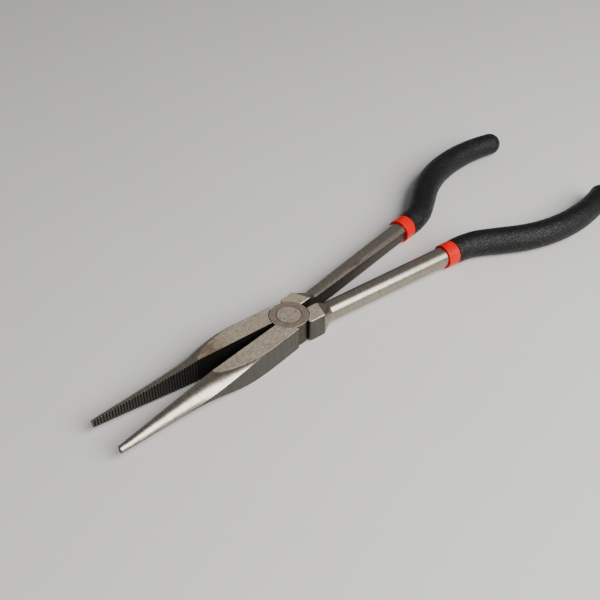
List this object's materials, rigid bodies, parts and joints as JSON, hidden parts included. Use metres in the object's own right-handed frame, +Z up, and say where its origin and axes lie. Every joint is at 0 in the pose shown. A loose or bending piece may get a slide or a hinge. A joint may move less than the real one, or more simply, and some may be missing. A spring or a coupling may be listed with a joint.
{
  "type": "needle nose pliers",
  "caption": "Long-reach needle nose pliers with lap joint, toothed half-round jaws, round shanks, red collars and black curved grips.",
  "frame": {"origin": "on the pivot's axis at the underside of the joint", "axes": "+X along the centre line towards the jaw tips, +Y to the left, +Z up out of the joint's top face"},
  "size_m": [0.2769, 0.0886, 0.0126],
  "materials": {
    "ground_steel": "ground flats, polished rounds",
    "rivet_steel": "ground flush",
    "collar_red": "glossy dip coating",
    "grip_black": "fine grained satin dip coating"
  },
  "bodies": {
    "lower_body": {"lower_half": "ground_steel", "lower_collar": "collar_red", "lower_grip": "grip_black"},
    "upper_body": {"upper_half": "ground_steel", "pivot_rivet": "rivet_steel", "upper_collar": "collar_red", "upper_grip": "grip_black"}
  },
  "joints": [
    {"name": "pivot", "type": "hinge", "parent": "lower_body", "child": "upper_body", "pos_m": [0, 0, 0.0054], "axis": [0, 0, 1], "range_deg": [-10.2, 34]}
  ]
}
